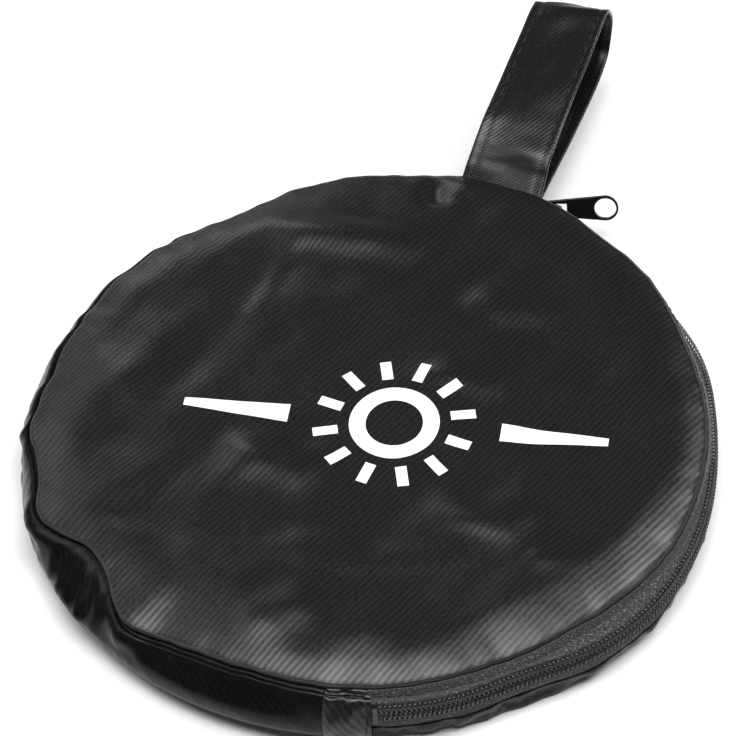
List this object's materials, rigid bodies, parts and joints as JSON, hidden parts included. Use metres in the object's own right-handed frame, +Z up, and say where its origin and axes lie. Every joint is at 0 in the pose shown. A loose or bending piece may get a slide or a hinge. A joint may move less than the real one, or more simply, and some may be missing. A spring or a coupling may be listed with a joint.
{
  "type": "collapsible reflector disc",
  "caption": "Photo light reflector folded small in its round black zipped pouch, with a hang loop and a zip pull.",
  "frame": {"origin": "centre of the pouch's flat underside, lying closed on a table", "axes": "+Z up through the lid; +Y towards the hang loop's side of the pouch, +X towards the middle of the zip"},
  "size_m": [0.2082, 0.2725, 0.0432],
  "materials": {
    "pouch_nylon": "black satin-faced nylon twill with a soft sheen",
    "binding_tape": "black woven polyester binding tape",
    "zip_tape": "black woven polyester zip tape, matt",
    "zip_coil": "black nylon monofilament coil",
    "black_enamel": "gloss black enamel on die-cast zinc",
    "spring_steel": "tempered spring steel band",
    "ferrule_metal": "crimped aluminium ferrule",
    "sleeve_tape": "black hem tape",
    "silver_cloth": "metallised silver reflective cloth",
    "white_cloth": "matt white diffusing cloth",
    "print_ink": "flat white screen-print ink"
  },
  "bodies": {
    "pouch": {"bottom_panel": "pouch_nylon", "top_panel_fixed": "pouch_nylon", "gusset": "pouch_nylon", "lid_binding_fixed": "binding_tape", "floor_binding": "binding_tape", "lower_zip_tape": "zip_tape", "lower_zip_coil": "zip_coil", "zip_bottom_stop": "black_enamel", "lower_top_stop": "black_enamel"},
    "flap": {"top_panel_flap": "pouch_nylon", "lid_binding_flap": "binding_tape", "upper_zip_tape": "zip_tape", "upper_zip_coil": "zip_coil", "upper_top_stop": "black_enamel"},
    "slider": {"slider_body": "black_enamel", "slider_bridge": "black_enamel"},
    "pull": {"pull_tab": "black_enamel"},
    "loop": {"hang_loop": "pouch_nylon"},
    "reflector": {"spring_hoop": "spring_steel", "hoop_ferrule": "ferrule_metal", "edge_sleeve": "sleeve_tape", "silver_face": "silver_cloth", "white_face": "white_cloth"}
  },
  "joints": [
    {"name": "slider_travel", "type": "hinge", "parent": "pouch", "child": "slider", "pos_m": [0, 0, 0.0132], "axis": [0, 0, -1], "range_deg": [0, 144], "deforming": ["upper_zip_tape", "upper_zip_coil", "lower_zip_tape", "lower_zip_coil"]},
    {"name": "pull_swing", "type": "hinge", "parent": "slider", "child": "pull", "pos_m": [0.06032, 0.08942, 0.01385], "axis": [0, 0.3746, 0.9272], "range_deg": [-8, 80]},
    {"name": "flap_open", "type": "hinge", "parent": "pouch", "child": "flap", "pos_m": [0.02436, -0.00817, 0.0228], "axis": [-0.3181, -0.948, 0], "range_deg": [0, 60]},
    {"name": "loop_fold", "type": "hinge", "parent": "pouch", "child": "loop", "pos_m": [0.04527, 0.09241, 0.0231], "axis": [0.898, -0.4399, 0], "range_deg": [-12, 125]},
    {"name": "reflector_slide", "type": "slide", "parent": "pouch", "child": "reflector", "axis": [0.9537, -0.3007, 0], "range_m": [0, 0.215]}
  ],
  "couplings": [
    {"joint": "flap_open", "follows": "slider_travel", "ratio": 0.41667}
  ]
}
